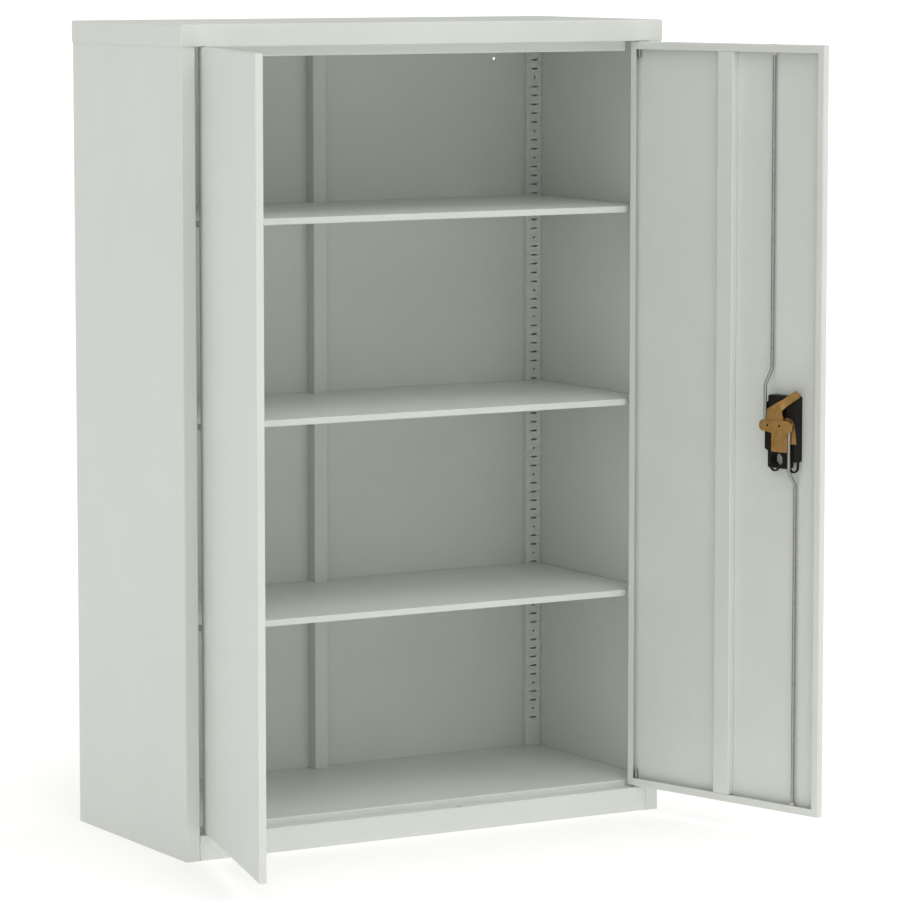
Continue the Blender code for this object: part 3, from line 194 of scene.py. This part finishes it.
def yellow_passivated_zinc():
    """Stamped steel, zinc plated and dipped in a yellow chromate.

    The dip dries in clouds a few millimetres wide that drift from gold to olive and rose.
    """
    made, tree, shader, place = new_finish("yellow_passivated_zinc")
    cloud = add(
        tree, "TexNoise", {"Vector": place, "Scale": 1 / (11 * MM), "Detail": 3.0, "Roughness": 0.6}
    )
    tint = add(tree, "ValToRGB", {"Fac": cloud.outputs["Fac"]})
    tint.color_ramp.elements[0].position = 0.32
    tint.color_ramp.elements[0].color = linear("#BF9356")
    tint.color_ramp.elements[1].position = 0.7
    tint.color_ramp.elements[1].color = linear("#D6A870")
    middle = tint.color_ramp.elements.new(0.5)
    middle.color = linear("#CA9E61")
    grit = add(
        tree, "TexNoise", {"Vector": place, "Scale": 1 / (0.9 * MM), "Detail": 2.0, "Roughness": 0.6}
    )
    gloss = add(
        tree, "MapRange",
        {"Value": grit.outputs["Fac"], "From Min": 0.3, "From Max": 0.7, "To Min": 0.38, "To Max": 0.52},
    )
    bump = add(tree, "Bump", {"Height": grit.outputs["Fac"], "Strength": 0.3, "Distance": 0.03 * MM})
    tree.links.new(tint.outputs["Color"], shader.inputs["Base Color"])
    tree.links.new(gloss.outputs["Result"], shader.inputs["Roughness"])
    tree.links.new(bump.outputs["Normal"], shader.inputs["Normal"])
    shader.inputs["Metallic"].default_value = 1.0
    return made


def black_moulded_nylon():
    """Glass-filled nylon, injection moulded in black in a spark-eroded mould.

    The mould leaves a fine even grain, and the fibres dull the gloss in faint streams.
    """
    made, tree, shader, place = new_finish("black_moulded_nylon")
    stream = add(tree, "Mapping", {"Vector": place, "Scale": (1.0, 1.0, 0.25)})
    flow = add(tree, "TexNoise", {"Vector": stream.outputs["Vector"], "Scale": 1 / (9 * MM), "Detail": 3.0})
    tint = add(tree, "ValToRGB", {"Fac": flow.outputs["Fac"]})
    tint.color_ramp.elements[0].position = 0.3
    tint.color_ramp.elements[0].color = linear("#12100F")
    tint.color_ramp.elements[1].position = 0.7
    tint.color_ramp.elements[1].color = linear("#1C1917")
    grain = add(
        tree, "TexNoise", {"Vector": place, "Scale": 1 / (0.7 * MM), "Detail": 2.0, "Roughness": 0.6}
    )
    gloss = add(
        tree, "MapRange",
        {"Value": flow.outputs["Fac"], "From Min": 0.3, "From Max": 0.7, "To Min": 0.42, "To Max": 0.55},
    )
    bump = add(tree, "Bump", {"Height": grain.outputs["Fac"], "Strength": 0.5, "Distance": 0.04 * MM})
    tree.links.new(tint.outputs["Color"], shader.inputs["Base Color"])
    tree.links.new(gloss.outputs["Result"], shader.inputs["Roughness"])
    tree.links.new(bump.outputs["Normal"], shader.inputs["Normal"])
    shader.inputs["IOR"].default_value = 1.53
    shader.inputs["Specular IOR Level"].default_value = 0.2
    return made


def rivet_hollow_painted_shade():
    """The pressed end of a rivet, its hollow and the flat ring round it, where the plate broke.

    The dark brown is painted shade: it stands for the shade that falls into the hollow, finely mottled.
    """
    made, tree, shader, place = new_finish("rivet_hollow_painted_shade")
    shade_mottle = add(tree, "TexNoise", {"Vector": place, "Scale": 1 / (0.8 * MM), "Detail": 2.0})
    tint = add(tree, "ValToRGB", {"Fac": shade_mottle.outputs["Fac"]})
    # Painted shade: dark browns that stand for the shade in a rivet's hollow
    tint.color_ramp.elements[0].color = linear("#2A1D12")
    tint.color_ramp.elements[1].color = linear("#4A3420")
    bump = add(tree, "Bump", {"Height": shade_mottle.outputs["Fac"], "Strength": 0.3, "Distance": 0.03 * MM})
    tree.links.new(tint.outputs["Color"], shader.inputs["Base Color"])
    tree.links.new(bump.outputs["Normal"], shader.inputs["Normal"])
    shader.inputs["Metallic"].default_value = 1.0
    shader.inputs["Roughness"].default_value = 0.6
    return made


def natural_nylon():
    """Unfilled nylon, turned or moulded, milky with a waxy gloss and fine turning marks."""
    made, tree, shader, place = new_finish("natural_nylon")
    cloud = add(tree, "TexNoise", {"Vector": place, "Scale": 1 / (5 * MM), "Detail": 2.0})
    tint = add(tree, "ValToRGB", {"Fac": cloud.outputs["Fac"]})
    tint.color_ramp.elements[0].color = linear("#BDBDB6")
    tint.color_ramp.elements[1].color = linear("#CBCAC3")
    marks = add(
        tree, "TexWave", {"Vector": place, "Scale": 1 / (2.5 * MM), "Distortion": 0.6}, bands_direction="Z"
    )
    bump = add(tree, "Bump", {"Height": marks.outputs["Fac"], "Strength": 0.2, "Distance": 0.02 * MM})
    tree.links.new(tint.outputs["Color"], shader.inputs["Base Color"])
    tree.links.new(bump.outputs["Normal"], shader.inputs["Normal"])
    shader.inputs["Roughness"].default_value = 0.42
    shader.inputs["IOR"].default_value = 1.53
    return made


def lit_opal_acrylic():
    """The matt opal acrylic floor of a product studio, lit a little from below, so no shadow is dark."""
    made, tree, shader, place = new_finish("lit_opal_acrylic")
    cloud = add(tree, "TexNoise", {"Vector": place, "Scale": 1 / (400 * MM), "Detail": 2.0})
    tint = add(tree, "ValToRGB", {"Fac": cloud.outputs["Fac"]})
    tint.color_ramp.elements[0].color = linear("#F3F3F1")
    tint.color_ramp.elements[1].color = linear("#F6F6F4")
    tree.links.new(tint.outputs["Color"], shader.inputs["Base Color"])
    shader.inputs["Roughness"].default_value = 0.9
    shader.inputs["Specular IOR Level"].default_value = 0.1
    shader.inputs["Emission Color"].default_value = linear("#FFFFFF")
    shader.inputs["Emission Strength"].default_value = FLOOR_GLOW
    return made


def rounded_copy(node, finish, edge):
    """The node's shape with its flat facets merged, its edges rounded and its bends shaded smooth."""
    bm = bmesh.new()
    bm.from_mesh(NODES[node].data)
    bmesh.ops.remove_doubles(bm, verts=bm.verts[:], dist=WELD)
    bmesh.ops.dissolve_limit(bm, angle_limit=FLAT_ANGLE, verts=bm.verts[:], edges=bm.edges[:])
    sharp = [item for item in bm.edges if len(item.link_faces) == 2 and item.calc_face_angle() > EDGE_ANGLE]
    bmesh.ops.bevel(
        bm, geom=sharp, offset=edge, segments=EDGE_STEPS, profile=0.5, affect="EDGES", clamp_overlap=True
    )
    bmesh.ops.triangulate(bm, faces=[face for face in bm.faces if len(face.verts) > 4])
    mesh = bpy.data.meshes.new(node + "_finished")
    bm.to_mesh(mesh)
    bm.free()
    mesh.shade_smooth()
    mesh.set_sharp_from_angle(angle=EDGE_ANGLE)
    mesh.materials.clear()
    mesh.materials.append(finish)
    piece = bpy.data.objects.new(node + "_finished", mesh)
    bpy.context.scene.collection.objects.link(piece)
    weigh = piece.modifiers.new("flat_faces_stay_flat", "WEIGHTED_NORMAL")
    weigh.keep_sharp = True
    weigh.weight = BROAD_FACE_WEIGHT
    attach(piece, BODY_OF[node])
    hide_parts(node)
    return piece


def darken_hollow(rivet, finish, axis):
    """Gives the faces near a rivet's middle line, its hollow and the ring, a finish of painted shade."""
    middle = sum((corner.co for corner in rivet.data.vertices), Vector()) / len(rivet.data.vertices)
    rivet.data.materials.append(finish)
    for face in rivet.data.polygons:
        if (face.center - middle).cross(axis).length < RIVET_SHADE_REACH:
            # These faces get the painted shade
            face.material_index = 1


def dress_nodes():
    finishes = {
        "powder_coat": (powder_coated_steel(), SHEET_EDGE),
        "zinc_steel": (bright_zinc(), PLATE_EDGE),
        "yellow_zinc": (yellow_passivated_zinc(), PLATE_EDGE),
        "black_plastic": (black_moulded_nylon(), MOULDED_EDGE),
        "nylon": (natural_nylon(), MOULDED_EDGE),
    }
    # The rivets' hollows and the rings round them get a dark finish of painted shade
    painted_hollow_shade = rivet_hollow_painted_shade()
    for node in sorted(NODES):
        finish, edge = finishes[SLOT_OF[node]]
        piece = rounded_copy(node, finish, edge)
        if node.startswith("cam_rivet_"):
            darken_hollow(piece, painted_hollow_shade, HANDLE_AXIS)


def build_floor():
    bm = bmesh.new()
    bmesh.ops.create_circle(bm, cap_ends=True, segments=FLOOR_SIDES, radius=FLOOR_RADIUS)
    mesh = bpy.data.meshes.new("studio_floor")
    bm.to_mesh(mesh)
    bm.free()
    mesh.materials.append(lit_opal_acrylic())
    floor = bpy.data.objects.new("studio_floor", mesh)
    bpy.context.scene.collection.objects.link(floor)


def light_studio():
    """Large soft lights far off, without edges. A look past the cabinet meets a plain white backdrop."""
    world = bpy.data.worlds.new("studio")
    bpy.context.scene.world = world
    world.use_nodes = True
    tree = world.node_tree
    outward = add(tree, "TexCoord").outputs["Generated"]
    light = 0.0
    for *angles, strength in SOFT_LIGHTS.values():
        turn, height, full, end = map(math.radians, angles)
        aim = (math.sin(turn) * math.cos(height), -math.cos(turn) * math.cos(height), math.sin(height))
        nearness = add(tree, "VectorMath", {0: outward, 1: aim}, operation="DOT_PRODUCT").outputs["Value"]
        fade = add(
            tree, "MapRange",
            {"Value": nearness, "From Min": math.cos(end), "From Max": math.cos(full), "To Max": strength},
            interpolation_type="SMOOTHSTEP",
        )
        light = add(tree, "Math", {0: fade.outputs["Result"], 1: light}, operation="ADD").outputs["Value"]
    seen = add(tree, "LightPath").outputs["Is Camera Ray"]
    shown = add(tree, "Mix", {"Factor": seen, "A": light, "B": BACKDROP_STRENGTH}).outputs["Result"]
    tree.links.new(shown, tree.nodes["Background"].inputs["Strength"])
    tree.nodes["Background"].inputs["Color"].default_value = linear("#FFFFFF")
    bpy.context.scene.view_settings.view_transform = "Standard"


def place_camera():
    lens = bpy.data.cameras.new("camera")
    lens.sensor_width = SENSOR_WIDTH
    lens.lens = CAMERA_LENS
    lens.clip_end = 2 * FLOOR_RADIUS
    camera = bpy.data.objects.new("camera", lens)
    camera.location = CAMERA_PLACE
    camera.rotation_euler = (math.pi / 2 - CAMERA_DIP, 0.0, -CAMERA_TURN)
    bpy.context.scene.collection.objects.link(camera)
    bpy.context.scene.camera = camera


place_camera()
light_studio()
build_floor()
dress_nodes()
